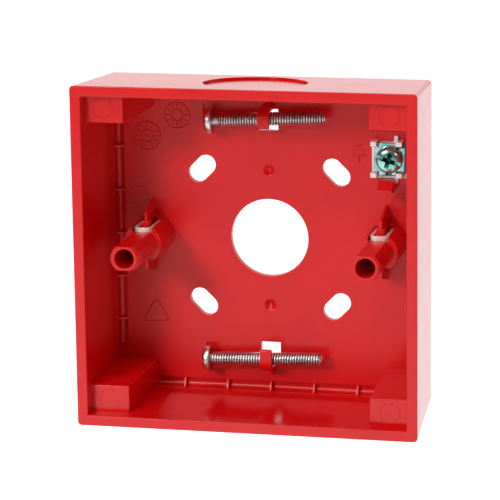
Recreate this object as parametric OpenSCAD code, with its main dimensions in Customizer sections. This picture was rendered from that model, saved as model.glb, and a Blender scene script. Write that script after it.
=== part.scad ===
// Surface mounting back box of a manual call point, with its stored fixings.
// The back lies on the wall in the plane y = 0, the open front faces -Y and +Z is up.

/* [Box] */
// Width and height of the open front
front_size = 86; // [84:0.5:88]
// Width and height at the wall, smaller by the mould draft
back_size = 82.4; // [81.6:0.1:83]
// Depth from the wall to the front rim
depth = 32; // [31.5:0.5:36]
// Thickness of the side walls at the rim
wall_t = 2.7; // [2.4:0.1:2.9]
// Thickness of the back plate
plate_t = 2; // [1.8:0.1:2.4]
// Radius of the outer corners
corner_r = 1; // [0.6:0.1:1.6]

/* [Back plate] */
// Diameter of the central cable hole
cable_hole_d = 20; // [16:0.5:22]
// Width of the wall fixing slots
slot_w = 5; // [4:0.1:5.4]
// Length of the wall fixing slots
slot_l = 8; // [6:0.1:9]
// Diameter of the circle that the slots stand on
slot_pcd = 49; // [46:0.1:51]
// Half width of the thick middle of the plate, inside the groove
plate_land = 37.7; // [37:0.1:38]

/* [Screw pillars] */
// Distance between the two pillars, that of a standard single gang box
pillar_pitch = 60.3; // [59.5:0.1:61]
// Diameter of the slim front of a pillar
tube_d = 7.3; // [7:0.1:7.6]
// Height between the two flats of a pillar
tube_flats = 6; // [5.6:0.1:6.4]
// Diameter of the hole for the screw
tube_bore_d = 4.9; // [4.4:0.1:5]
// Diameter of the thick sleeve round the nut
sleeve_d = 9.9; // [9.6:0.1:10.6]

/* [Captive nuts] */
// Width of the folded nut
nut_w = 4.9; // [4.6:0.1:5]
// Height of the folded nut
nut_h = 7; // [6.8:0.1:7.4]
// Length of the nut from its front web to the ends of its cheeks
nut_l = 10.2; // [9:0.1:10.6]
// Sheet thickness of the nut
nut_t = 1; // [0.8:0.1:1.2]
// Radius of the threaded hole
nut_hole_r = 1.5; // [1.4:0.05:1.6]

/* [Stored screws] */
// Length of a stored screw under its head
screw_l = 29.5; // [28:0.5:30]
// Radius of the thread
screw_r = 1.75; // [1.7:0.01:1.76]
// Radius of the pan head
screw_head_r = 3.3; // [3:0.1:3.3]
// Height of the pan head
screw_head_h = 2.3; // [2:0.1:2.5]

/* [Earth terminal] */
// Place of the terminal screw across the box
term_x = 32; // [31.8:0.1:32.2]
// Place of the terminal screw up the box
term_z = 22.4; // [22:0.1:22.8]
// Radius of the terminal screw's head
term_head_r = 3.4; // [3.2:0.1:3.5]
// Radius of the terminal screw's thread
term_screw_r = 1.93; // [1.9:0.01:1.95]

/* [Hidden] */
$fn = 64;

// The wall leans outwards to the front by the draft.
draft = (front_size - back_size) / 2 / depth;
draft_angle = atan(draft);
corner_steps = 8;

// The inside of the wall leans less than the outside, so the wall is thinner at the plate.
plate_half = 39.9;
groove_floor_y = -1;

// Corner posts: inner corner at the front and at the plate.
post_front_y = -28.35;
post_front_x = 30.5;
post_front_z = 33.3;
post_back_x = 29.7;
post_back_z = 32.9;
post_wall = 1.9;
post_core_top = 4;
post_core_far = 38.2;

// Ribs that bridge the groove.
rib_t = 0.5;
rib_top_y = -3;
rib_pitch = 11.3;
rib_count = 5;

// Knock-outs in the top and bottom walls.
knockout_r = 13;
knockout_gap = 0.01;
knockout_y = -16;
knockout_recess = 0.6;
knockout_web_w = 0.7;
knockout_web_cut = 0.55;

// Pillars.
pillar_front_y = -31.5;
pillar_step = 0.5;
pillar_step_r = 3.3;
sleeve_front_y = -14.3;
sleeve_base_d = sleeve_d + 0.4;
sleeve_flat_z = -4.3;
sleeve_notch = 1.9;
nut_slot_gap = 0.1;
nut_front_y = -13.8;
nut_low_z = -tube_flats / 2;
nut_web_t = nut_t + 0.2;
latch_w = 2.1;
latch_front_y = -11.4;
latch_back_y = -8.6;
latch_low_z = 3.3;
latch_high_z = 5.3;
web_t = 0.7;
web_front_y = -10.2;
web_front_z = 7.2;
foot_web_front_z = 7.6;
web_back_z = 9.7;

// Storage clips: the screw's axis inside each hook.
store_y = -5.5;
store_top_z = 31.2;
store_bottom_z = -30.85;
store_top_x = -13.5;
store_bottom_x = -14.85;
store_top_tilt = 3;
store_bottom_tilt = 2;
hook_gap = 0.17;
hook_t = 1.05;
hook_w = 3;
hook_tip_top = 1.45;
hook_tip_bottom = 2.6;
hook_rib_t = 0.8;
hook_rib_x = 0.7;
window_w = 5.1;
window_l = 5.5;
pocket_x = -16.8;
pocket_w = 3;
pocket_l = 5.4;
pocket_depth = 0.7;

// Pan head cross recess and slot.
recess_arm = 1.1;
recess_reach = 0.58;
recess_depth = 1.5;
slot_cut_w = 0.9;
slot_cut_depth = 0.7;

// Dimples that mark the vertical centre line.
dimple_r = 1.5;
dimple_depth = 0.9;
dimple_z = 17.5;

// Earth terminal.
seat_w = 10.6;
seat_h = 13.2;
seat_front_y = -5.8;
seat_bore_r = 2.3;
catch_left_x = -2.5;
catch_right_x = 1.2;
catch_low_z = -8;
catch_root_z = -6.4;
catch_top_z = -5.1;
catch_front_y = -11.7;
catch_slope_y = -9.6;
catch_back_y = -6.95;
catch_lip = 0.6;
bracket_t = 1;
bracket_left_x = -4.7;
bracket_right_x = 4.1;
bracket_top_z = 4.2;
bracket_low_z = -5;
bracket_hole_r = 2;
ear_w = 1.7;
ear_h = 1.3;
ear_len = 2.7;
ear_left_x = -4.7;
ear_right_x = 1.7;
ear_reach = 4.6;
tab_w = 1;
tab_x = 1.4;
tab_top_z = 5.7;
tab_low_z = -6.3;
clamp_t = 1.2;
clamp_w = 8;
clamp_h = 8.2;
clamp_corner_r = 0.8;
clamp_hole_r = 2.25;
clamp_ear_gap = 0.15;
term_head_h = 2.3;
term_screw_l = 5.4;
term_screw_turn = 18;

clamp_back_y = seat_front_y - bracket_t;
clamp_front_y = clamp_back_y - clamp_t;

// Half width of the drafted outside at a depth y.
function half_at(y) = back_size / 2 - draft * y;

// Corner points of a rounded square in the plane of a given y.
function ring_points(half, r, y) = [
    for (corner = [0:3])
        for (i = [0:corner_steps])
            let (a = 90 * corner + 90 * i / corner_steps,
                 cx = (corner == 0 || corner == 3) ? half - r : r - half,
                 cz = corner < 2 ? half - r : r - half)
            [cx + r * cos(a), y, cz + r * sin(a)]];

// Block with rounded corners between two depths, with a half width at each.
module frustum(half_front, half_back, r, y_front, y_back) {
    n = 4 * (corner_steps + 1);
    front = ring_points(half_front, r, y_front);
    back = ring_points(half_back, r, y_back);
    polyhedron(
        points = concat(front, back),
        faces = concat(
            [[for (i = [n - 1:-1:0]) i]],
            [[for (i = [0:n - 1]) n + i]],
            [for (i = [0:n - 1]) [i, (i + 1) % n, n + (i + 1) % n, n + i]]));
}

// Round bar along Y from y_front back to y_back.
module bar_y(r, y_front, y_back) {
    translate([0, y_front, 0])
        rotate([-90, 0, 0])
            cylinder(r = r, h = y_back - y_front);
}

// Cube between two corners.
module block(low, high) {
    translate(low) cube(high - low);
}

// A plate in the YZ plane, centred on x = 0.
module web_yz(points, t) {
    rotate([90, 0, 90])
        translate([0, 0, -t / 2])
            linear_extrude(t)
                polygon(points);
}

// Disc square to the top wall's outside, from a depth under the surface to another.
module wall_disc(r, from, to) {
    translate([0, knockout_y, half_at(knockout_y)])
        rotate([-draft_angle, 0, 0])
            translate([0, 0, -to])
                cylinder(r = r, h = to - from, $fn = 96);
}

// The room inside the walls, from over the rim down to the plate.
module cavity() {
    rim_half = front_size / 2 - wall_t;
    lean = (rim_half - plate_half) / (depth - plate_t);
    frustum(rim_half + lean, plate_half, 0.4, -depth - 1, -plate_t);
}

module wall_ring() {
    difference() {
        frustum(front_size / 2, back_size / 2, corner_r, -depth, 0);
        cavity();
        block([-plate_half, -plate_t, -plate_half], [plate_half, 1, plate_half]);
    }
}

module side_walls() {
    color("firebrick")
        difference() {
            wall_ring();
            wall_disc(knockout_r, -1, 4);
            mirror([0, 0, 1]) wall_disc(knockout_r, -1, 4);
        }
}

// Blank that breaks out of the wall: sunk outside, with a thin web all round.
module knockout() {
    color("firebrick")
        difference() {
            intersection() {
                wall_ring();
                wall_disc(knockout_r - knockout_gap, -1, 4);
            }
            wall_disc(knockout_r + 1, -1, knockout_recess);
            difference() {
                wall_disc(knockout_r + 1, -1, knockout_recess + knockout_web_cut);
                wall_disc(knockout_r - knockout_web_w, -2, knockout_recess + knockout_web_cut + 1);
            }
        }
}

module knockout_top() {
    knockout();
}

module knockout_bottom() {
    mirror([0, 0, 1]) knockout();
}

// One straight groove along the top edge of the plate.
module edge_groove() {
    block([-post_back_x, -plate_t - 1, plate_land], [post_back_x, groove_floor_y, plate_half + 1]);
}

module fixing_slot() {
    for (end = [-1, 1])
        translate([end * (slot_l - slot_w) / 2, 0, 0])
            bar_y(slot_w / 2, -plate_t - 1, 1);
    block([-(slot_l - slot_w) / 2, -plate_t - 1, -slot_w / 2], [(slot_l - slot_w) / 2, 1, slot_w / 2]);
}

// Window behind a storage hook, from the hook's inner face towards the centre.
module clip_window(store_z) {
    outer = store_z + sign(store_z) * (screw_r + hook_gap);
    inner = outer - sign(store_z) * window_l;
    block([-window_w / 2, -plate_t - 1, min(outer, inner)], [window_w / 2, 1, max(outer, inner)]);
}

// Shallow pocket under a stored screw's head.
module head_pocket(store_z) {
    block(
        [pocket_x, -plate_t - 1, store_z - pocket_l / 2],
        [pocket_x + pocket_w, pocket_depth - plate_t, store_z + pocket_l / 2]);
}

// Hollow core of a corner post, open at the wall.
module post_core() {
    block(
        [post_back_x + post_wall, post_front_y + post_core_top, post_back_z + post_wall],
        [post_core_far, 1, post_core_far]);
}

module back_plate() {
    color("firebrick")
        difference() {
            block([-plate_half, -plate_t, -plate_half], [plate_half, 0, plate_half]);
            bar_y(cable_hole_d / 2, -plate_t - 1, 1);
            for (quarter = [0:3])
                rotate([0, 90 * quarter, 0]) {
                    edge_groove();
                    rotate([0, 45, 0])
                        translate([0, 0, slot_pcd / 2])
                            fixing_slot();
                }
            for (x = [0, 1])
                for (z = [0, 1])
                    mirror([x, 0, 0])
                        mirror([0, 0, z])
                            post_core();
            for (z = [-dimple_z, dimple_z])
                translate([0, -plate_t - 0.01, z])
                    rotate([-90, 0, 0])
                        cylinder(r1 = dimple_r, r2 = 0.3, h = dimple_depth);
            clip_window(store_top_z);
            clip_window(store_bottom_z);
            head_pocket(store_top_z);
            head_pocket(store_bottom_z);
        }
}

// One thin rib across the groove, from the plate's edge to the foot of the top wall.
module wall_rib() {
    web_yz([
        [groove_floor_y, plate_land],
        [-plate_t, plate_land],
        [rib_top_y, plate_half],
        [groove_floor_y, plate_half]], rib_t);
}

module wall_ribs() {
    color("firebrick")
        for (quarter = [0:3])
            rotate([0, 90 * quarter, 0])
                for (i = [0:rib_count - 1])
                    translate([(i - (rib_count - 1) / 2) * rib_pitch, 0, 0])
                        wall_rib();
}

// Corner post at the top right: it leans with the mould draft and is cored from behind.
module corner_post() {
    far = front_size / 2 + 2;
    color("firebrick")
        difference() {
            intersection() {
                cavity();
                hull() {
                    block([post_front_x, post_front_y, post_front_z], [far, post_front_y + 0.01, far]);
                    block([post_back_x, -plate_t - 0.01, post_back_z], [far, -plate_t, far]);
                }
            }
            post_core();
        }
}

module corner_post_top_right() {
    corner_post();
}

module corner_post_top_left() {
    mirror([1, 0, 0]) corner_post();
}

module corner_post_bottom_right() {
    mirror([0, 0, 1]) corner_post();
}

module corner_post_bottom_left() {
    mirror([1, 0, 0]) mirror([0, 0, 1]) corner_post();
}

// Slim tube with flats above and below, stepped at its mouth.
module pillar_tube() {
    intersection() {
        union() {
            bar_y(pillar_step_r, pillar_front_y, pillar_front_y + pillar_step);
            bar_y(tube_d / 2, pillar_front_y + pillar_step, -plate_t);
        }
        block([-tube_d, pillar_front_y, -tube_flats / 2], [tube_d, -plate_t, tube_flats / 2]);
    }
}

module pillar_sleeve() {
    intersection() {
        translate([0, sleeve_front_y, 0])
            rotate([-90, 0, 0])
                cylinder(r1 = sleeve_d / 2, r2 = sleeve_base_d / 2, h = -plate_t - sleeve_front_y);
        block([-sleeve_d, sleeve_front_y, sleeve_flat_z], [sleeve_d, -plate_t, sleeve_d]);
    }
}

// Room for the nut, open at the top and cut through the sleeve's front above and below the tube.
module nut_slot() {
    half = nut_w / 2 + nut_slot_gap;
    block(
        [-half, nut_front_y - nut_slot_gap, nut_low_z],
        [half, nut_front_y + nut_l + 0.4, sleeve_d]);
    block([-half, sleeve_front_y - 1, tube_flats / 2], [half, nut_front_y, sleeve_d]);
    block([-half, sleeve_front_y - 1, -sleeve_d], [half, sleeve_front_y + sleeve_notch, -tube_flats / 2]);
}

module pillar(side) {
    color("firebrick")
        translate([side * pillar_pitch / 2, 0, 0]) {
            difference() {
                union() {
                    pillar_tube();
                    pillar_sleeve();
                }
                bar_y(tube_bore_d / 2, pillar_front_y - 1, -plate_t);
                nut_slot();
            }
            web_yz([
                [web_front_y, latch_low_z],
                [web_front_y, web_front_z],
                [-plate_t, web_back_z],
                [-plate_t, latch_low_z]], web_t);
            web_yz([
                [web_front_y, sleeve_flat_z + 0.3],
                [web_front_y, -foot_web_front_z],
                [-plate_t, -web_back_z],
                [-plate_t, sleeve_flat_z + 0.3]], web_t);
            block([-latch_w / 2, latch_front_y, latch_low_z], [latch_w / 2, latch_back_y, latch_high_z]);
        }
}

module pillar_left() {
    pillar(-1);
}

module pillar_right() {
    pillar(1);
}

// Hook in the YZ plane, opening towards +Z, with the stored screw's axis at its centre.
module hook_outline(hook_tip) {
    inner = screw_r + hook_gap;
    outer = inner + hook_t;
    difference() {
        union() {
            circle(r = outer);
            translate([0, -outer]) square([-plate_t - store_y, hook_t + 0.3]);
            translate([-outer, 0]) square([hook_t, hook_tip]);
            translate([-outer + hook_t / 2, hook_tip]) circle(r = hook_t / 2);
        }
        circle(r = inner);
        translate([-inner, 0]) square([outer * 3, outer * 2]);
        translate([0, -inner]) square([outer * 2, outer * 2]);
    }
}

module storage_clip(store_z, hook_tip) {
    foot = screw_r + hook_gap + hook_t;
    color("firebrick")
        translate([0, store_y, store_z])
            mirror([0, 0, store_z > 0 ? 1 : 0]) {
                rotate([90, 0, 90])
                    translate([0, 0, -hook_w / 2])
                        linear_extrude(hook_w)
                            hook_outline(hook_tip);
                translate([hook_rib_x, 0, 0])
                    web_yz([
                        [-plate_t - store_y, -foot + 0.1],
                        [-0.6, -foot + 0.1],
                        [-plate_t - store_y, -foot - 2.4]], hook_rib_t);
            }
}

module storage_clip_top() {
    storage_clip(store_top_z, hook_tip_top);
}

module storage_clip_bottom() {
    storage_clip(store_bottom_z, hook_tip_bottom);
}

// Sloped catch under the terminal, in front of the bracket's lower edge.
module seat_catch() {
    translate([catch_left_x, 0, 0])
        rotate([90, 0, 90])
            linear_extrude(catch_right_x - catch_left_x)
                polygon([
                    [-plate_t, catch_low_z],
                    [-plate_t, catch_root_z],
                    [catch_back_y, catch_root_z],
                    [catch_back_y, catch_top_z],
                    [catch_slope_y, catch_top_z],
                    [catch_front_y, catch_low_z + catch_lip],
                    [catch_front_y, catch_low_z]]);
}

// Raised plastic block that carries the earth terminal, with its catch below.
module terminal_seat() {
    color("firebrick")
        translate([term_x, 0, term_z])
            union() {
                difference() {
                    block([-seat_w / 2, seat_front_y, -seat_h / 2], [seat_w / 2, -plate_t, seat_h / 2]);
                    bar_y(seat_bore_r, seat_front_y - 1, -plate_t);
                }
                seat_catch();
            }
}

// Folded steel nut: a threaded web in front and two cheeks behind it.
module captive_nut(side) {
    color("silver")
        translate([side * pillar_pitch / 2, nut_front_y, 0])
            difference() {
                block([-nut_w / 2, 0, nut_low_z], [nut_w / 2, nut_l, nut_low_z + nut_h]);
                block(
                    [nut_t - nut_w / 2, nut_web_t, -nut_h],
                    [nut_w / 2 - nut_t, nut_l + 1, nut_h]);
                bar_y(nut_hole_r, -1, nut_web_t + 0.1);
            }
}

module captive_nut_left() {
    captive_nut(-1);
}

module captive_nut_right() {
    captive_nut(1);
}

// The bracket's four ears, with a gap round them for the clamp's notches.
module bracket_ears(y_front, gap) {
    for (x = [ear_left_x, ear_right_x])
        for (z = [-ear_reach, ear_reach - ear_h])
            block([x - gap, y_front, z - gap], [x + ear_w + gap, seat_front_y, z + ear_h + gap]);
}

// Steel plate on the seat, threaded for the terminal screw.
module terminal_bracket() {
    color("gainsboro")
        translate([term_x, 0, term_z])
            difference() {
                union() {
                    block(
                        [bracket_left_x, seat_front_y - bracket_t, bracket_low_z],
                        [bracket_right_x, seat_front_y, bracket_top_z]);
                    block(
                        [tab_x - tab_w / 2, seat_front_y - bracket_t, tab_low_z],
                        [tab_x + tab_w / 2, seat_front_y, tab_top_z]);
                    bracket_ears(clamp_back_y - ear_len, 0);
                }
                bar_y(bracket_hole_r, seat_front_y - bracket_t - 1, seat_front_y + 1);
            }
}

// Square washer that clamps the wire, notched round the ears.
module terminal_clamp() {
    color("paleturquoise")
        translate([term_x, 0, term_z])
            difference() {
                hull()
                    for (x = [-1, 1])
                        for (z = [-1, 1])
                            translate([
                                x * (clamp_w / 2 - clamp_corner_r), 0,
                                z * (clamp_h / 2 - clamp_corner_r)])
                                bar_y(clamp_corner_r, clamp_front_y, clamp_back_y);
                bracket_ears(clamp_back_y - ear_len - 1, clamp_ear_gap);
                bar_y(clamp_hole_r, clamp_front_y - 1, clamp_back_y + 1);
            }
}

// Cross recess and driver slot cut into a head that faces -Y at y = 0.
module driver_recess(head_r) {
    for (turn = [0, 90])
        rotate([0, turn, 0])
            block(
                [-recess_arm / 2, -1, -head_r * recess_reach],
                [recess_arm / 2, recess_depth, head_r * recess_reach]);
    block([-head_r - 1, -1, -slot_cut_w / 2], [head_r + 1, slot_cut_depth, slot_cut_w / 2]);
}

// Pan head facing -Y, with its front at y = 0.
module pan_head(r, h) {
    difference() {
        intersection() {
            bar_y(r, 0, h);
            translate([0, r * 1.25, 0]) sphere(r = r * 1.32, $fn = 96);
        }
        driver_recess(r);
    }
}

module terminal_screw() {
    color("darkcyan")
        translate([term_x, clamp_front_y - term_head_h, term_z])
            rotate([0, term_screw_turn, 0]) {
                pan_head(term_head_r, term_head_h);
                bar_y(term_screw_r, term_head_h, term_head_h + term_screw_l);
            }
}

// Screw lying along X, with its bearing face at head_x.
module stored_screw(head_x, store_z, tilt) {
    color("silver")
        translate([0, store_y, store_z])
            rotate([0, -tilt, 0])
                translate([head_x, 0, 0])
                    rotate([0, 0, -90])
                        translate([0, -screw_head_h, 0]) {
                            pan_head(screw_head_r, screw_head_h);
                            bar_y(screw_r, screw_head_h, screw_head_h + screw_l);
                        }
}

module stored_screw_top() {
    stored_screw(store_top_x, store_top_z, store_top_tilt);
}

module stored_screw_bottom() {
    stored_screw(store_bottom_x, store_bottom_z, store_bottom_tilt);
}

side_walls();
back_plate();
wall_ribs();
corner_post_top_left();
corner_post_top_right();
corner_post_bottom_left();
corner_post_bottom_right();
pillar_left();
pillar_right();
storage_clip_top();
storage_clip_bottom();
terminal_seat();
knockout_top();
knockout_bottom();
captive_nut_left();
captive_nut_right();
terminal_bracket();
terminal_clamp();
terminal_screw();
stored_screw_top();
stored_screw_bottom();
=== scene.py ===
import math

import bmesh
import bpy
import numpy as np
from mathutils import Matrix, Quaternion, Vector


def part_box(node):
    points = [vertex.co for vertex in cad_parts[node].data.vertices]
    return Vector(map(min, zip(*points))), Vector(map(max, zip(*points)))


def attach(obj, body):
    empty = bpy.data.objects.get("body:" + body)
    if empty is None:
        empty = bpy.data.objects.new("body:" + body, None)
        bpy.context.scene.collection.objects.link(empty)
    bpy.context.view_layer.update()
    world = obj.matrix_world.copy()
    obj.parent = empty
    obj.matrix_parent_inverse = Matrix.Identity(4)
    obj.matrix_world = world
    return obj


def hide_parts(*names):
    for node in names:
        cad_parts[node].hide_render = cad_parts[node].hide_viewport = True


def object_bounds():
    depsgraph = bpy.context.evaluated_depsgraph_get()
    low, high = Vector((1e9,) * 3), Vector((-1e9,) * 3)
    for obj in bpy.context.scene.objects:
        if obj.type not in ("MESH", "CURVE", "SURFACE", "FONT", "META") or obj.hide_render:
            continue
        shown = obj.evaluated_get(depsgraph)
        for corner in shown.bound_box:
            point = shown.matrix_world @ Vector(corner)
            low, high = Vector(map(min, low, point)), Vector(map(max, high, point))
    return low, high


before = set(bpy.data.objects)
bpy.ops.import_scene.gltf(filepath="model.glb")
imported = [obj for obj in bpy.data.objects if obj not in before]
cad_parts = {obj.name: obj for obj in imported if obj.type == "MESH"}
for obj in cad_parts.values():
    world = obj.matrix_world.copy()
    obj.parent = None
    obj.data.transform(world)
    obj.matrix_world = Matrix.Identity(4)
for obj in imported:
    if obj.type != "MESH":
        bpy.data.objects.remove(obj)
cadBox = [list(corner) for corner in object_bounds()]
mm = 0.001
print("frame loaded")

camera = {
    "azimuth": 13.02,  # degrees, turned towards +X from the open front
    "elevation": 12.86,
    "roll": -0.75,
    "distance": 0.714,
    "aim": (-0.0019, -0.016, -0.0001),
    "lens": 206.5,
}


# Unit vector from the box towards a viewer at that azimuth and elevation.
def lookFrom(azimuth, elevation):
    a, e = math.radians(azimuth), math.radians(elevation)
    return Vector((math.sin(a) * math.cos(e), -math.cos(a) * math.cos(e), math.sin(e)))


def makeCamera():
    towards = lookFrom(camera["azimuth"], camera["elevation"])
    data = bpy.data.cameras.new("camera")
    data.lens = camera["lens"]
    data.clip_start = 0.05
    data.clip_end = 20
    eye = bpy.data.objects.new("camera", data)
    eye.location = Vector(camera["aim"]) + towards * camera["distance"]
    turn = (-towards).to_track_quat("-Z", "Y")
    eye.rotation_mode = "QUATERNION"
    eye.rotation_quaternion = turn @ Quaternion((0, 0, 1), math.radians(camera["roll"]))
    bpy.context.scene.collection.objects.link(eye)
    bpy.context.scene.camera = eye


makeCamera()
print("camera placed")


def newGroup(name, inputs, outputs):
    group = bpy.data.node_groups.new(name, "ShaderNodeTree")
    for socket, kind, value in inputs:
        made = group.interface.new_socket(socket, in_out="INPUT", socket_type=kind)
        if value is not None:
            made.default_value = value
    for socket, kind in outputs:
        group.interface.new_socket(socket, in_out="OUTPUT", socket_type=kind)
    return group, group.nodes.new("NodeGroupInput"), group.nodes.new("NodeGroupOutput")


# Adds a node, sets its attributes and sockets by name, and links the listed sockets into it.
def addNode(tree, kind, links=(), **values):
    node = tree.nodes.new(kind)
    for key, value in values.items():
        if hasattr(node, key):
            setattr(node, key, value)
        else:
            node.inputs[key.replace("_", " ")].default_value = value
    for socket, source in links:
        tree.links.new(source, node.inputs[socket])
    return node


# Blend of two colours by a factor; a colour is a socket to link.
def addBlend(tree, factor, first, second):
    node = tree.nodes.new("ShaderNodeMix")
    node.data_type = "RGBA"
    tree.links.new(factor, node.inputs[0])
    tree.links.new(first, node.inputs[6])
    tree.links.new(second, node.inputs[7])
    return node.outputs[2]


# One sum or product; the second term is a socket or a plain number.
def addSum(tree, operation, first, second):
    node = addNode(tree, "ShaderNodeMath", [(0, first)], operation=operation)
    if isinstance(second, float):
        node.inputs[1].default_value = second
    else:
        tree.links.new(second, node.inputs[1])
    return node.outputs[0]


waveHeight = 2.0  # height of the slow waves, as a multiple of the grain's


# Moulded or plated skin. Slow clouds blend two tones, and a painted shade mask darkens thread roots
# and recesses towards a third, painted shade tone. Clouds and fine streaks vary the gloss, and grain with
# slow waves gives a height.
def makeSkinGroup():
    inputs = [
        ("Vector", "NodeSocketVector", None),
        # Painted shade mask: 1 leaves the toned colour, 0 gives the painted shade tone of roots and
        # recesses.
        ("Painted Shade Mask", "NodeSocketFloat", 1.0),
        ("Tone", "NodeSocketColor", (1, 1, 1, 1)),
        ("Second Tone", "NodeSocketColor", (1, 1, 1, 1)),
        ("Painted Shade Tone", "NodeSocketColor", (0, 0, 0, 1)),
        ("Grain Scale", "NodeSocketFloat", 2500.0),
        ("Wave Scale", "NodeSocketFloat", 90.0),
        ("Streak", "NodeSocketFloat", 1.0),
        ("Rough Low", "NodeSocketFloat", 0.1),
        ("Rough High", "NodeSocketFloat", 0.2),
    ]
    outputs = [
        ("Colour", "NodeSocketColor"),
        ("Roughness", "NodeSocketFloat"),
        ("Height", "NodeSocketFloat"),
    ]
    group, enter, leave = newGroup("surfaceSkin", inputs, outputs)
    given = enter.outputs
    noise = "ShaderNodeTexNoise"
    place = ("Vector", given["Vector"])
    grain = addNode(group, noise, [place, ("Scale", given["Grain Scale"])], Detail=3.0)
    wave = addNode(group, noise, [place, ("Scale", given["Wave Scale"])], Detail=2.0)
    stretch = addNode(group, "ShaderNodeMapping", [place], Scale=(60.0, 60.0, 900.0))
    streak = addNode(group, noise, [("Vector", stretch.outputs["Vector"])], Scale=1.0, Detail=4.0)
    slow, fine = wave.outputs["Fac"], grain.outputs["Fac"]
    cloud = addNode(group, "ShaderNodeMapRange", [("Value", slow)], From_Min=0.3, From_Max=0.6)
    mixed = addBlend(group, cloud.outputs["Result"], given["Second Tone"], given["Tone"])
    # Painted shade: the colour falls towards the painted shade tone where the mask drops to 0.
    shaded = addBlend(group, given["Painted Shade Mask"], given["Painted Shade Tone"], mixed)
    streaks = addSum(group, "MULTIPLY", streak.outputs["Fac"], given["Streak"])
    rough = addNode(
        group, "ShaderNodeMapRange",
        [
            ("Value", addSum(group, "ADD", slow, streaks)),
            ("To Min", given["Rough Low"]),
            ("To Max", given["Rough High"]),
        ],
        From_Min=0.4, From_Max=1.4,
    )
    height = addSum(group, "ADD", fine, addSum(group, "MULTIPLY", slow, waveHeight))
    group.links.new(shaded, leave.inputs["Colour"])
    group.links.new(rough.outputs["Result"], leave.inputs["Roughness"])
    group.links.new(height, leave.inputs["Height"])
    return group


skinGroup = makeSkinGroup()

# Each look's dark third tone is painted shade; it shows only on looks whose painted shade mask is on (the
# screws), in thread roots and recesses.
redAbs = {
    "tone": (0.76, 0.004, 0.006), "second": (0.71, 0.003, 0.005), "paintedShadeTone": (0.3, 0.0, 0.0),
    "metallic": 0.0, "rough": (0.12, 0.18), "bump": 0.0000025,
    "grainScale": 2600.0, "waveScale": 70.0, "streak": 1.0, "paintedShadeMask": False,
}
satinAbs = {**redAbs, "rough": (0.27, 0.35), "bump": 0.000004}
zincPlate = {
    "tone": (0.97, 0.94, 0.90), "second": (0.84, 0.82, 0.78), "paintedShadeTone": (0.10, 0.10, 0.11),
    "metallic": 0.25, "rough": (0.28, 0.42), "bump": 0.000008,
    "grainScale": 1800.0, "waveScale": 350.0, "streak": 0.6, "paintedShadeMask": False,
}
screwPlate = {
    "tone": (0.86, 0.86, 0.85), "second": (0.66, 0.66, 0.67), "paintedShadeTone": (0.20, 0.17, 0.17),
    "metallic": 1.0, "rough": (0.28, 0.40), "bump": 0.000005,
    "grainScale": 1800.0, "waveScale": 350.0, "streak": 0.6, "paintedShadeMask": True,
}
greenPlate = {
    "tone": (0.24, 0.64, 0.57), "second": (0.66, 0.92, 0.88), "paintedShadeTone": (0.0, 0.10, 0.08),
    "metallic": 0.9, "rough": (0.16, 0.30), "bump": 0.000008,
    "grainScale": 1800.0, "waveScale": 600.0, "streak": 0.5, "paintedShadeMask": False,
}
greenScrew = {
    "tone": (0.25, 0.66, 0.58), "second": (0.50, 0.84, 0.78), "paintedShadeTone": (0.0, 0.085, 0.07),
    "metallic": 0.9, "rough": (0.12, 0.24), "bump": 0.000006,
    "grainScale": 1800.0, "waveScale": 600.0, "streak": 0.5, "paintedShadeMask": True,
}


# Principled surface whose colour, roughness and fine height come from the skin group.
def skinMaterial(name, look):
    material = bpy.data.materials.new(name)
    material.use_nodes = True
    tree = material.node_tree
    shader = tree.nodes["Principled BSDF"]
    shader.inputs["Metallic"].default_value = look["metallic"]
    place = addNode(tree, "ShaderNodeTexCoord")
    skin = addNode(tree, "ShaderNodeGroup", [], node_tree=skinGroup)
    tree.links.new(place.outputs["Object"], skin.inputs["Vector"])
    given = {
        "Tone": (*look["tone"], 1), "Second Tone": (*look["second"], 1), "Painted Shade Tone": (*look["paintedShadeTone"], 1),
        "Grain Scale": look["grainScale"], "Wave Scale": look["waveScale"], "Streak": look["streak"],
        "Rough Low": look["rough"][0], "Rough High": look["rough"][1],
    }
    for socket, value in given.items():
        skin.inputs[socket].default_value = value
    # Painted shade: the mesh's mask darkens thread roots and the head recess towards the painted shade tone.
    if look["paintedShadeMask"]:
        paintedShadeMask = addNode(tree, "ShaderNodeAttribute", attribute_name="paintedShadeMask")
        tree.links.new(paintedShadeMask.outputs["Fac"], skin.inputs["Painted Shade Mask"])
    tree.links.new(skin.outputs["Colour"], shader.inputs["Base Color"])
    tree.links.new(skin.outputs["Roughness"], shader.inputs["Roughness"])
    height = [("Height", skin.outputs["Height"])]
    bump = addNode(tree, "ShaderNodeBump", height, Strength=0.6, Distance=look["bump"])
    tree.links.new(bump.outputs["Normal"], shader.inputs["Normal"])
    return material


redSkin = skinMaterial("redAbs", redAbs)
satinSkin = skinMaterial("satinAbs", satinAbs)
zincSkin = skinMaterial("zincPlate", zincPlate)
screwSkin = skinMaterial("screwZinc", screwPlate)
greenSkin = skinMaterial("greenChromate", greenPlate)
greenScrewSkin = skinMaterial("greenScrewChromate", greenScrew)
print("materials made")


edges = {
    "crease": 38,  # degrees; a sharper edge keeps its hard line in the shading
    "sharp": 35,  # degrees; a CAD edge sharper than this is rolled
    "flat": 0.6,  # degrees; faces closer than this are one face
    "merge": 0.002,  # millimetres; points closer than this are one point
}


# Links a mesh as a piece that rides on a body, with area-weighted normals over its rounded edges.
def finishMesh(name, mesh, body, material, nodes=()):
    mesh.materials.clear()
    mesh.materials.append(material)
    mesh.polygons.foreach_set("use_smooth", np.ones(len(mesh.polygons), bool))
    mesh.set_sharp_from_angle(angle=math.radians(edges["crease"]))
    piece = bpy.data.objects.new(name, mesh)
    bpy.context.scene.collection.objects.link(piece)
    weigh = piece.modifiers.new("evenNormals", "WEIGHTED_NORMAL")
    weigh.keep_sharp = True
    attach(piece, body)
    if nodes:
        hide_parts(*nodes)
    return piece


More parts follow.
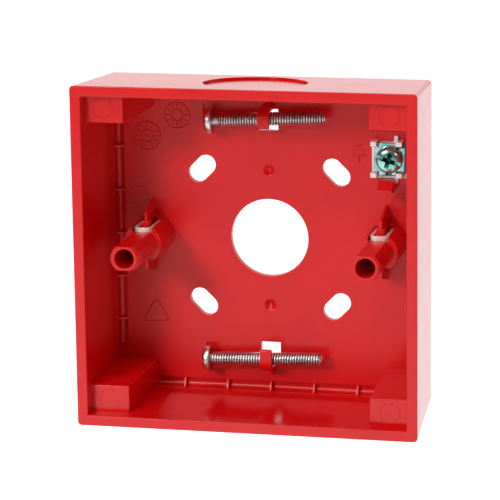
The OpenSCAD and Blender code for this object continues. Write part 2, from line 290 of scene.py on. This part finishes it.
# Copy of a CAD node, merged into flat faces. Each pass rolls the sharp edges its test accepts to its radius.
def roundedMesh(node, passes, move=None, segments=3):
    bm = bmesh.new()
    bm.from_mesh(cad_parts[node].data)
    bmesh.ops.remove_doubles(bm, verts=bm.verts, dist=edges["merge"] * mm)
    bmesh.ops.dissolve_limit(bm, angle_limit=math.radians(edges["flat"]), verts=bm.verts, edges=bm.edges)
    if move:
        for v in bm.verts:
            v.co = move(v.co)
    for test, radius in passes:
        steep = [e for e in bm.edges if e.is_manifold and e.calc_face_angle() > math.radians(edges["sharp"])]
        sharp = [e for e in steep if test((e.verts[0].co + e.verts[1].co) / 2)]
        bmesh.ops.bevel(
            bm, geom=sharp, offset=radius, offset_type="OFFSET", segments=segments,
            profile=0.5, affect="EDGES", clamp_overlap=False,
        )
    bmesh.ops.recalc_face_normals(bm, faces=bm.faces)
    mesh = bpy.data.meshes.new(node + "Rounded")
    bm.to_mesh(mesh)
    bm.free()
    return mesh


# Quads over a grid of points, rows along v and columns along u. Loops close it round, and capV closes
# its two end rows.
def gridMesh(name, points, loopU=False, loopV=False, capV=False):
    rows, cols = points.shape[:2]
    index = np.arange(rows * cols).reshape(rows, cols)
    if loopU:
        index = np.concatenate([index, index[:, :1]], axis=1)
    if loopV:
        index = np.concatenate([index, index[:1]], axis=0)
    quads = np.stack([index[:-1, :-1], index[:-1, 1:], index[1:, 1:], index[1:, :-1]], axis=-1)
    faces = quads.reshape(-1, 4).tolist()
    if capV:
        faces.append(index[0, :cols][::-1].tolist())
        faces.append(index[-1, :cols].tolist())
    mesh = bpy.data.meshes.new(name)
    mesh.from_pydata(points.reshape(-1, 3).tolist(), [], faces)
    bm = bmesh.new()
    bm.from_mesh(mesh)
    bmesh.ops.remove_doubles(bm, verts=bm.verts, dist=0.0005 * mm)
    bmesh.ops.recalc_face_normals(bm, faces=bm.faces)
    bm.to_mesh(mesh)
    bm.free()
    return mesh


# Takes the cutters away from a mesh, exactly, and gives the new mesh.
def cutMesh(mesh, cutters):
    holder = bpy.data.objects.new("cutting", mesh)
    bpy.context.scene.collection.objects.link(holder)
    tools = []
    for cutter in cutters:
        tool = bpy.data.objects.new("cutter", cutter)
        bpy.context.scene.collection.objects.link(tool)
        cut = holder.modifiers.new("cut", "BOOLEAN")
        cut.operation = "DIFFERENCE"
        cut.solver = "EXACT"
        cut.object = tool
        tools.append(tool)
    graph = bpy.context.evaluated_depsgraph_get()
    result = bpy.data.meshes.new_from_object(holder.evaluated_get(graph))
    for thing in [holder, *tools]:
        bpy.data.objects.remove(thing)
    return result


# One mesh out of several, each kept as its own closed shell.
def joinMeshes(name, meshes):
    bm = bmesh.new()
    for mesh in meshes:
        bm.from_mesh(mesh)
    joined = bpy.data.meshes.new(name)
    bm.to_mesh(joined)
    bm.free()
    return joined


# Round bead along a flat path in x and z: a small circle stands square to the path at each of its points.
def beadMesh(path, radius, depthY, closed=False, sides=8):
    path = np.asarray(path, float)
    if closed:
        ahead = np.roll(path, -1, axis=0) - np.roll(path, 1, axis=0)
    else:
        ahead = np.gradient(path, axis=0)
    ahead = ahead / np.linalg.norm(ahead, axis=1, keepdims=True)
    angle = np.linspace(0, 2 * np.pi, sides, endpoint=False)[None, :]
    x = path[:, :1] - ahead[:, 1:] * radius * np.cos(angle)
    z = path[:, 1:] + ahead[:, :1] * radius * np.cos(angle)
    y = depthY + radius * np.sin(angle) + 0 * x
    return gridMesh("bead", np.stack([x, y, z], axis=-1) * mm, loopU=True, loopV=closed, capV=not closed)


# Points on a circle in x and z, between two angles in degrees.
def arcPath(centre, radius, start=0.0, end=360.0, steps=40):
    angle = np.radians(np.linspace(start, end, steps, endpoint=end - start < 360))
    return np.stack([centre[0] + radius * np.cos(angle), centre[1] + radius * np.sin(angle)], axis=-1)


def anywhere(point):
    return True


# Lengths are in millimetres here and below.
moulding = {
    "rimRadius": 0.30,
    "postRadius": 0.28,
    "fineRadius": 0.12,
    "hairRadius": 0.05,
    "seatRadius": 0.08,
    "bury": 0.6,  # how far a member's foot runs into the plate, so that no groove shows there
    "touch": 0.02,  # a point this near the plate's face is on it
    "plateFace": -2.0,
    "plateHalf": 39.9,
    "plateEdge": 0.3,  # edges this close to the plate's outline stay sharp
    "innerWall": 38.9,
    "footDepth": -3.0,  # edges nearer the plate than this stay sharp
    "rimDepth": -20.0,  # edges in front of this are the rim's
    "holeMiddle": -16.0,
    "holeReach": 13.6,
    "holeFace": 39.0,
    "blankFace": 40.6,
    "postFront": -28.35,
    "postMiddle": (35.6, 36.9),
}


# Pushes what touches the plate into it.
def buryFoot(co):
    y = co.y
    if y > (moulding["plateFace"] - moulding["touch"]) * mm:
        y += moulding["bury"] * mm
    return Vector((co.x, y, co.z))


# Pushes a corner post into the plate and into both walls.
def buryPost(co):
    moved = buryFoot(co)
    for axis in (0, 2):
        if abs(moved[axis]) > moulding["innerWall"] * mm:
            moved[axis] += math.copysign(moulding["bury"] * mm, moved[axis])
    return moved


# True at the flat back inside the walls, where the plate lies flush, and round the knock-out holes.
def onBackOrHole(point):
    x, y, z = abs(point.x) / mm, point.y / mm, abs(point.z) / mm
    edge = moulding["plateEdge"]
    atPlate = y > moulding["plateFace"] - edge and max(x, z) < moulding["plateHalf"] + edge
    acrossHole = max(x, abs(y - moulding["holeMiddle"])) < moulding["holeReach"]
    return atPlate or (acrossHole and z > moulding["holeFace"])


mouldMarks = {
    "line": 0.16,  # radius of an engraved line
    "dials": [  # centre, outer radius, core radius, pointer angle
        ((-31.6, 25.5), 3.6, 1.6, 150.0),
        ((-23.6, 31.0), 3.3, 1.4, None),
    ],
    "ticks": 12,
    "tickReach": (1.35, 0.86),  # parts of the core's and of the outer radius
    "pointerReach": 0.7,
    "triangle": [(-33.2, -22.7), (-26.9, -22.5), (-29.9, -17.2)],
    "cornerRound": 0.8,
    "cornerInset": 0.72,
    "ejectors": [(-34.2, 10.0), (34.2, 10.0)],
    "ejectorRadius": 2.5,
    "faintLine": 0.07,  # radius of the ejector circles' line
}


# Dial of a mould insert: an outer and a core circle, radial ticks between them, and for a pointer
# a line across the core.
def dialBeads(centre, outer, core, pointer):
    line, face = mouldMarks["line"], moulding["plateFace"]
    beads = [beadMesh(arcPath(centre, r), line, face, closed=True) for r in (outer, core)]
    for tick in range(mouldMarks["ticks"]):
        a = 2 * math.pi * tick / mouldMarks["ticks"]
        along = np.array([math.cos(a), math.sin(a)])
        reach = (core * mouldMarks["tickReach"][0], outer * mouldMarks["tickReach"][1])
        beads.append(beadMesh([centre + along * r for r in reach], line, face))
    if pointer is not None:
        a = math.radians(pointer)
        along = np.array([math.cos(a), math.sin(a)])
        half = along * core * mouldMarks["pointerReach"]
        beads.append(beadMesh([centre - half, centre + half], line, face))
    return beads


# Triangle with round corners: an arc about each drawn-in corner, joined by straight lines.
def trianglePath():
    corners = np.array(mouldMarks["triangle"])
    middle = corners.mean(axis=0)
    inset = middle + (corners - middle) * mouldMarks["cornerInset"]
    arcs = []
    for i in range(3):
        before, after = inset[i] - inset[i - 1], inset[(i + 1) % 3] - inset[i]
        start = math.degrees(math.atan2(before[1], before[0])) - 90
        turn = (math.degrees(math.atan2(after[1], after[0])) - 90 - start) % 360
        arcs.append(arcPath(inset[i], mouldMarks["cornerRound"], start, start + turn, 8))
    return np.concatenate(arcs)


# Finishes one piece of the box moulding, in the place of the CAD nodes named after it.
def mouldPiece(name, mesh, skin, *nodes):
    finishMesh(name, mesh, "box", skin, nodes)


def ejectorRing(centre, face):
    ring = arcPath(centre, mouldMarks["ejectorRadius"])
    return beadMesh(ring, mouldMarks["faintLine"], face, closed=True)


def makePlate():
    innerEdge = (moulding["plateHalf"] - moulding["plateEdge"]) * mm
    inside = [(lambda p: max(abs(p.x), abs(p.z)) < innerEdge, moulding["fineRadius"] * mm)]
    face = moulding["plateFace"]
    beads = [bead for dial in mouldMarks["dials"] for bead in dialBeads(np.array(dial[0]), *dial[1:])]
    beads.append(beadMesh(trianglePath(), mouldMarks["line"], face, closed=True))
    beads += [ejectorRing(centre, face) for centre in mouldMarks["ejectors"]]
    mesh = cutMesh(roundedMesh("back_plate", inside), [joinMeshes("marks", beads)])
    mouldPiece("backPlate", mesh, satinSkin, "back_plate")


def makeWalls():
    rimDepth = moulding["rimDepth"] * mm
    rim = [
        (lambda p: not onBackOrHole(p) and p.y < rimDepth, moulding["rimRadius"] * mm),
        (lambda p: not onBackOrHole(p) and p.y >= rimDepth, moulding["fineRadius"] * mm),
    ]
    mouldPiece("sideWalls", roundedMesh("side_walls", rim), redSkin, "side_walls")
    hair = [(anywhere, moulding["hairRadius"] * mm)]
    mouldPiece("wallRibs", roundedMesh("wall_ribs", hair), satinSkin, "wall_ribs")


def makePosts():
    passes = [(lambda p: p.y < moulding["footDepth"] * mm, moulding["postRadius"] * mm)]
    middleX, middleZ = moulding["postMiddle"]
    for up, signZ in (("top", 1), ("bottom", -1)):
        for side, signX in (("left", -1), ("right", 1)):
            node = f"corner_post_{up}_{side}"
            ring = ejectorRing((signX * middleX, signZ * middleZ), moulding["postFront"])
            mesh = cutMesh(roundedMesh(node, passes, buryPost), [ring])
            mouldPiece(f"post_{up}_{side}", mesh, redSkin, node)


def makePillars():
    fine = [(anywhere, moulding["fineRadius"] * mm)]
    for side in ("left", "right"):
        node = "pillar_" + side
        mouldPiece("screwPillar_" + side, roundedMesh(node, fine, buryFoot), satinSkin, node)


# Each end of the box has a storage clip on the plate and a knock-out blank in the wall.
def makeClipsAndBlanks():
    fine = [(anywhere, moulding["fineRadius"] * mm)]
    outside = [(lambda p: abs(p.z) > moulding["blankFace"] * mm, moulding["hairRadius"] * mm)]
    for end in ("top", "bottom"):
        clip, blank = "storage_clip_" + end, "knockout_" + end
        mouldPiece("clip_" + end, roundedMesh(clip, fine, buryFoot), satinSkin, clip)
        mouldPiece("blank_" + end, roundedMesh(blank, outside), redSkin, blank)


def makeSeat():
    passes = [(anywhere, moulding["seatRadius"] * mm)]
    mouldPiece("terminalSeat", roundedMesh("terminal_seat", passes, buryFoot), satinSkin, "terminal_seat")


makePlate()
makeWalls()
makePosts()
makePillars()
makeClipsAndBlanks()
makeSeat()
print("moulding made")

footFillet = {"radius": 1.0, "groove": -1.0, "halfLength": 30.2, "bury": 0.35, "steps": 10}


# Hollow round at the foot of each wall: a quarter circle from the wall to the groove's floor,
# carried along the wall.
def makeFootFillets():
    r, bury, wall = footFillet["radius"], footFillet["bury"], moulding["plateHalf"]
    angle = np.linspace(0, np.pi / 2, footFillet["steps"])
    arc = np.stack([footFillet["groove"] - r + r * np.sin(angle), wall - r + r * np.cos(angle)], axis=-1)
    behind = np.array([
        [footFillet["groove"] + bury, wall - r],
        [footFillet["groove"] + bury, wall + bury],
        [footFillet["groove"] - r, wall + bury],
    ])
    outline = np.concatenate([arc, behind])
    shells = []
    for quarter in range(4):
        a = quarter * math.pi / 2
        outward, along = np.array([math.sin(a), math.cos(a)]), np.array([math.cos(a), -math.sin(a)])
        rows = []
        for end in (-footFillet["halfLength"], footFillet["halfLength"]):
            x = outline[:, 1] * outward[0] + end * along[0]
            z = outline[:, 1] * outward[1] + end * along[1]
            rows.append(np.stack([x, outline[:, 0], z], axis=-1))
        shells.append(gridMesh("fillet", np.array(rows) * mm, loopU=True, capV=True))
    mouldPiece("footFillets", joinMeshes("footFilletsMesh", shells), satinSkin)


makeFootFillets()

earthMark = {
    "x": 23.1,
    "bars": [(24.35, 0.85), (23.25, 1.4), (22.15, 1.7)],  # height and half length
    "stemFoot": 20.1,
    "bead": 0.24,
}


# Raised earth symbol beside the terminal: three bars of growing length and a stem below them.
def makeEarthMark():
    x, face = earthMark["x"], moulding["plateFace"]
    lines = [[(x - half, z), (x + half, z)] for z, half in earthMark["bars"]]
    lines.append([(x, earthMark["bars"][-1][0]), (x, earthMark["stemFoot"])])
    beads = [beadMesh(line, earthMark["bead"], face, sides=12) for line in lines]
    mouldPiece("earthMark", joinMeshes("earthMarkMesh", beads), satinSkin)


makeEarthMark()
print("marks made")

storedScrew = {
    "length": 29.5, "major": 1.75, "minor": 1.3, "pitch": 0.68, "head": 3.3, "headHeight": 2.3,
    "depthY": -5.5,
    "top": {"headX": -13.5, "axisZ": 31.2, "tilt": 3.0, "neck": 1.7},
    "bottom": {"headX": -14.85, "axisZ": -30.85, "tilt": 2.0, "neck": 0.3},
}
earthScrew = {
    "length": 5.4, "major": 1.93, "minor": 1.5, "pitch": 0.7, "head": 3.4, "headHeight": 2.3,
    "x": 32.0, "z": 22.4, "headY": -10.3, "turn": 18.0, "neck": 0.3,
}
recess = {
    "arm": 0.56, "reach": 0.58, "depth": 1.9, "above": -1.0, "lip": 0.3,
    "mouth": (1.1, 1.04), "point": (0.5, 0.3),  # widths and lengths there, as parts of the arm's
    "slotWidth": 0.9, "slotDepth": 0.75, "slotReach": 1.2, "shade": 0.9,
}
headShape = {"domePart": 0.72, "power": 2.7, "skirtRound": 0.18, "around": 64, "rimPart": 0.97}
thread = {
    "around": 40, "perPitch": 10,
    "flank": 0.7,  # part of the pitch that the two flanks take
    "runIn": 0.5, "overlap": 0.05,
    "tip": 0.72, "tipSlope": 0.9, "tipLength": 0.8,
}


# Rod along +Y. Its radius climbs from the root to a flat crest as a clipped triangle wave of
# (y / pitch - angle / turn). A plain neck comes first, and the tip is chamfered.
def threadedRod(name, size, startY, neckLength):
    around = thread["around"]
    rows = int(size["length"] / size["pitch"] * thread["perPitch"])
    y = np.linspace(0, size["length"], rows)[:, None]
    angle = np.linspace(0, 2 * np.pi, around, endpoint=False)[None, :]
    phase = np.mod(y / size["pitch"] - angle / (2 * np.pi), 1.0)
    wave = np.clip(np.abs(2 * phase - 1) / thread["flank"], 0, 1)
    radius = size["minor"] + (size["major"] - size["minor"]) * wave
    plain = (size["minor"] + size["major"]) / 2
    started = np.clip((y - neckLength) / (thread["runIn"] * size["pitch"]), 0, 1)
    radius = radius * started + plain * (1 - started)
    tip = size["minor"] * thread["tip"] + (size["length"] - y) * thread["tipSlope"]
    radius = np.minimum(radius, tip)
    points = np.stack([radius * np.cos(angle), startY + y + 0 * angle, radius * np.sin(angle)], axis=-1) * mm
    return gridMesh(name, points, loopU=True, capV=True)


# Depth of the dome below its top at each radius: (radius / head)^power + (1 - depth / dome)^power = 1.
def domeDepth(radius, size):
    inside = np.clip(1 - (radius / size["head"]) ** headShape["power"], 0, 1)
    return size["headHeight"] * headShape["domePart"] * (1 - inside ** (1 / headShape["power"]))


# Pan head facing -Y, from y = 0: the dome over a short skirt with a rounded edge, turned about Y.
def panHead(name, size):
    steps = np.linspace(0, np.pi / 2, 20)
    radius = size["head"] * np.sin(steps) ** (2 / headShape["power"])
    edge = headShape["skirtRound"]
    skirt = np.array([
        [size["head"], size["headHeight"] - edge],
        [size["head"] - edge * 0.3, size["headHeight"] - edge * 0.3],
        [size["head"] - edge, size["headHeight"]],
        [0.0, size["headHeight"]],
    ])
    profile = np.concatenate([np.stack([radius, domeDepth(radius, size)], axis=-1), skirt])
    angle = np.linspace(0, 2 * np.pi, headShape["around"], endpoint=False)
    ring = profile[:, None, :]
    x, y, z = ring[..., 0] * np.cos(angle), ring[..., 1] + 0 * angle, ring[..., 0] * np.sin(angle)
    return gridMesh(name, np.stack([x, y, z], axis=-1) * mm, loopU=True)


# Prism along Y through flat outlines in x and z, one for each depth, scaled in x and z.
def prismMesh(corners, depths, scales, turn=0.0):
    a = math.radians(turn)
    spin = np.array([[math.cos(a), -math.sin(a)], [math.sin(a), math.cos(a)]])
    rows = []
    for depth, scale in zip(depths, scales):
        flat = (np.array(corners) * scale) @ spin.T
        rows.append(np.stack([flat[:, 0], np.full(len(flat), depth), flat[:, 1]], axis=-1))
    return gridMesh("prism", np.array(rows) * mm, loopU=True, capV=True)


def rectangle(halfX, halfZ):
    return [(-halfX, -halfZ), (halfX, -halfZ), (halfX, halfZ), (-halfX, halfZ)]


# Cross with arms that taper inwards, and a shallow driver slot.
def recessCutter(size):
    arm = rectangle(recess["arm"], recess["reach"] * size["head"])
    depths = (recess["above"], recess["lip"], recess["depth"])
    scales = (recess["mouth"], (1.0, 1.0), recess["point"])
    slot = rectangle(size["head"] * recess["slotReach"], recess["slotWidth"] / 2)
    return [
        prismMesh(arm, depths, scales),
        prismMesh(arm, depths, scales, 90),
        prismMesh(slot, (recess["above"], recess["slotDepth"]), ((1, 1), (1, 1))),
    ]


# Painted shade mask: 1 on the crests and on the head, falling to 0 at the thread's root and down inside the
# recess, where the colour is painted dark as shade.
def markPaintedShade(mesh, size):
    co = np.empty(len(mesh.vertices) * 3, np.float32)
    mesh.vertices.foreach_get("co", co)
    x, y, z = co.reshape(-1, 3).T / mm
    radius = np.hypot(x, z)
    crest = np.clip((radius - size["minor"]) / (size["major"] - size["minor"]), 0, 1)
    atTip = y > size["headHeight"] + size["length"] - thread["tipLength"]
    sunk = np.clip(1 - (y - domeDepth(radius, size) - thread["overlap"]) / recess["shade"], 0, 1)
    onHead = y < size["headHeight"] - 0.01
    inRecess = onHead & (radius < size["head"] * headShape["rimPart"])
    paintedShadeMask = np.where(onHead, np.where(inRecess, sunk, 1.0), np.where(atTip, 1.0, crest))
    mesh.attributes.new("paintedShadeMask", "FLOAT", "POINT").data.foreach_set("value", paintedShadeMask.astype(np.float32))


def screwMesh(name, size, neckLength):
    head = cutMesh(panHead("head", size), recessCutter(size))
    rod = threadedRod("thread", size, size["headHeight"] - thread["overlap"], neckLength)
    mesh = joinMeshes(name, [head, rod])
    # Paints shade into the thread roots and the head recess.
    markPaintedShade(mesh, size)
    return mesh


def makeScrews():
    for end in ("top", "bottom"):
        lie = storedScrew[end]
        mesh = screwMesh("storedScrewMesh_" + end, storedScrew, lie["neck"])
        place = (
            Matrix.Translation(Vector((0, storedScrew["depthY"], lie["axisZ"])) * mm)
            @ Matrix.Rotation(math.radians(-lie["tilt"]), 4, "Y")
            @ Matrix.Translation(Vector((lie["headX"], 0, 0)) * mm)
            @ Matrix.Rotation(math.radians(-90), 4, "Z")
            @ Matrix.Translation(Vector((0, -storedScrew["headHeight"], 0)) * mm)
        )
        mesh.transform(place)
        node = "stored_screw_" + end
        finishMesh("spareScrew_" + end, mesh, end + "_screw", screwSkin, [node])
    mesh = screwMesh("earthScrewMesh", earthScrew, earthScrew["neck"])
    place = Matrix.Translation(Vector((earthScrew["x"], earthScrew["headY"], earthScrew["z"])) * mm)
    mesh.transform(place @ Matrix.Rotation(math.radians(earthScrew["turn"]), 4, "Y"))
    finishMesh("earthScrew", mesh, "earth_screw", greenScrewSkin, ["terminal_screw"])


makeScrews()
print("screws made")

nut = {
    "sheet": 1.0, "edge": 0.2, "endRound": 0.12, "tapAhead": 0.8,
    "bend": 1.9,  # outer radius of the fold
    "bendSteps": 10,
    "thread": {"length": 3.2, "major": 1.75, "minor": 1.48, "pitch": 0.7},
}


# Round-cornered rectangle as (s, z) pairs about its middle.
def roundRectangle(halfS, halfZ, radius, steps=5):
    corners = []
    for start, s, z in ((0, 1, 1), (90, -1, 1), (180, -1, -1), (270, 1, -1)):
        centre = (s * (halfS - radius), z * (halfZ - radius))
        corners.append(arcPath(centre, radius, start, start + 90.0, steps))
    return np.concatenate(corners)


# Folded nut: the sheet's section carried forward along one cheek, round two bends past the web, and back.
def makeNut(side):
    node = "captive_nut_" + side
    low, high = (np.array(corner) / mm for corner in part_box(node))
    middle, sheet = (low + high) / 2, nut["sheet"]
    middleLine = nut["bend"] - sheet / 2  # radius of the fold at the middle of the sheet
    centreX = (high[0] - low[0]) / 2 - nut["bend"]
    turn = np.linspace(180, 270, nut["bendSteps"])
    heading = np.radians(np.concatenate([[180, 180], turn, turn + 90, [360, 360]]))[:, None]
    rows = len(heading)
    centres = np.where(np.arange(rows) < rows / 2, -centreX, centreX)[:, None]
    backs = np.full((rows, 1), low[1] + nut["bend"])
    backs[[0, -1]] = high[1]
    backs[[1, -2]] = high[1] - nut["endRound"]
    section = roundRectangle(sheet / 2, (high[2] - low[2]) / 2, nut["edge"])
    shrink = np.ones((rows, 1))
    shrink[[0, -1]] = 1 - 2 * nut["endRound"] / sheet
    across = middleLine + section[None, :, 0] * shrink
    x = middle[0] + centres + across * np.cos(heading)
    y = backs + across * np.sin(heading)
    z = middle[2] + section[None, :, 1] + 0 * across
    mesh = gridMesh("nutSheet", np.stack([x, y, z], axis=-1) * mm, loopU=True, capV=True)
    rod = threadedRod("tap", nut["thread"], 0.0, 0.0)
    rod.transform(Matrix.Translation(Vector((middle[0], low[1] - nut["tapAhead"], 0)) * mm))
    finishMesh("foldedNut_" + side, cutMesh(mesh, [rod]), side + "_nut", zincSkin, [node])


clamp = {
    "edge": 0.22,
    "channelX": -0.25, "channelTop": 0.75, "channelFloor": 0.5,  # half widths
    "channelDepth": 0.4, "above": -0.3,
}
bracket = {"earEdge": 0.3, "edge": 0.12, "earDepth": 1.0}


# Square washer with rolled edges and a shallow channel down its middle.
def makeClamp():
    low, high = (np.array(corner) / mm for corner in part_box("terminal_clamp"))
    mesh = roundedMesh("terminal_clamp", [(anywhere, clamp["edge"] * mm)])
    outline = rectangle(clamp["channelTop"], high[2] - low[2])
    narrow = clamp["channelFloor"] / clamp["channelTop"]
    depths = (clamp["above"], 0.0, clamp["channelDepth"])
    cutter = prismMesh(outline, depths, ((1, 1), (1, 1), (narrow, 1)))
    at = Vector((earthScrew["x"] + clamp["channelX"], low[1], earthScrew["z"])) * mm
    cutter.transform(Matrix.Translation(at))
    mesh = cutMesh(mesh, [cutter])
    finishMesh("earthClamp", mesh, "clamp_washer", greenSkin, ["terminal_clamp"])


def makeBracket():
    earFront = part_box("terminal_clamp")[0][1] - bracket["earDepth"] * mm
    passes = [
        (lambda p: p.y < earFront, bracket["earEdge"] * mm),
        (lambda p: p.y >= earFront, bracket["edge"] * mm),
    ]
    mesh = roundedMesh("terminal_bracket", passes)
    finishMesh("earthBracket", mesh, "box", zincSkin, ["terminal_bracket"])


makeNut("left")
makeNut("right")
makeClamp()
makeBracket()
print("sheet metal made")

studio = {
    "floorDrop": 0.30,
    "front": 0.10,  # sky strength towards the camera's side
    "rear": 1.06,  # sky strength behind the box, which the outer faces mirror
    "glow": 0.68,  # light that the paper behind the box gives of itself
    "key": {"at": (-0.70, -1.50, 0.70), "size": 0.40, "power": 13.0},
    "overhead": {"at": (-0.15, -0.95, 1.50), "size": 1.30, "power": 10.5},
}


def plainMaterial(name, colour, roughness):
    material = bpy.data.materials.new(name)
    material.use_nodes = True
    shader = material.node_tree.nodes["Principled BSDF"]
    shader.inputs["Base Color"].default_value = (*colour, 1)
    shader.inputs["Roughness"].default_value = roughness
    shader.inputs["Specular IOR Level"].default_value = 0.1
    return material


# Value that climbs smoothly from low to high as one coordinate goes from start to end.
def addClimb(tree, coordinates, axis, start, end, low, high):
    split = addNode(tree, "ShaderNodeSeparateXYZ", [("Vector", coordinates)])
    climb = addNode(
        tree, "ShaderNodeMapRange", [("Value", split.outputs[axis])],
        interpolation_type="SMOOTHSTEP", From_Min=start, From_Max=end, To_Min=low, To_Max=high,
    )
    return climb.outputs["Result"]


def makeFloor():
    half = 6.0
    low = cadBox[0][2] - studio["floorDrop"]
    mesh = bpy.data.meshes.new("floor")
    corners = [(-half, -half, low), (half, -half, low), (half, half, low), (-half, half, low)]
    mesh.from_pydata(corners, [], [(0, 1, 2, 3)])
    paper = plainMaterial("palePaper", (0.93, 0.93, 0.93), 0.8)
    tree = paper.node_tree
    place = addNode(tree, "ShaderNodeTexCoord")
    glow = addClimb(tree, place.outputs["Object"], "Y", -0.2, 0.7, 0.0, studio["glow"])
    shader = tree.nodes["Principled BSDF"]
    shader.inputs["Emission Color"].default_value = (1, 1, 1, 1)
    tree.links.new(glow, shader.inputs["Emission Strength"])
    mesh.materials.append(paper)
    floor = bpy.data.objects.new("floor", mesh)
    bpy.context.scene.collection.objects.link(floor)


def makeSky():
    world = bpy.data.worlds.new("studio")
    world.use_nodes = True
    tree = world.node_tree
    background = tree.nodes["Background"]
    background.inputs["Color"].default_value = (1, 1, 1, 1)
    place = addNode(tree, "ShaderNodeTexCoord")
    sky = addClimb(tree, place.outputs["Generated"], "Y", -0.25, 0.45, studio["front"], studio["rear"])
    tree.links.new(sky, background.inputs["Strength"])
    bpy.context.scene.world = world


def makeLamps():
    for name in ("key", "overhead"):
        lamp = studio[name]
        data = bpy.data.lights.new(name, "AREA")
        data.shape = "DISK"
        data.size = lamp["size"]
        data.energy = lamp["power"]
        light = bpy.data.objects.new(name, data)
        light.location = lamp["at"]
        light.rotation_euler = (-Vector(lamp["at"])).to_track_quat("-Z", "Y").to_euler()
        bpy.context.scene.collection.objects.link(light)


makeFloor()
makeSky()
makeLamps()
bpy.context.scene.view_settings.view_transform = "Standard"
print("stage and light made")
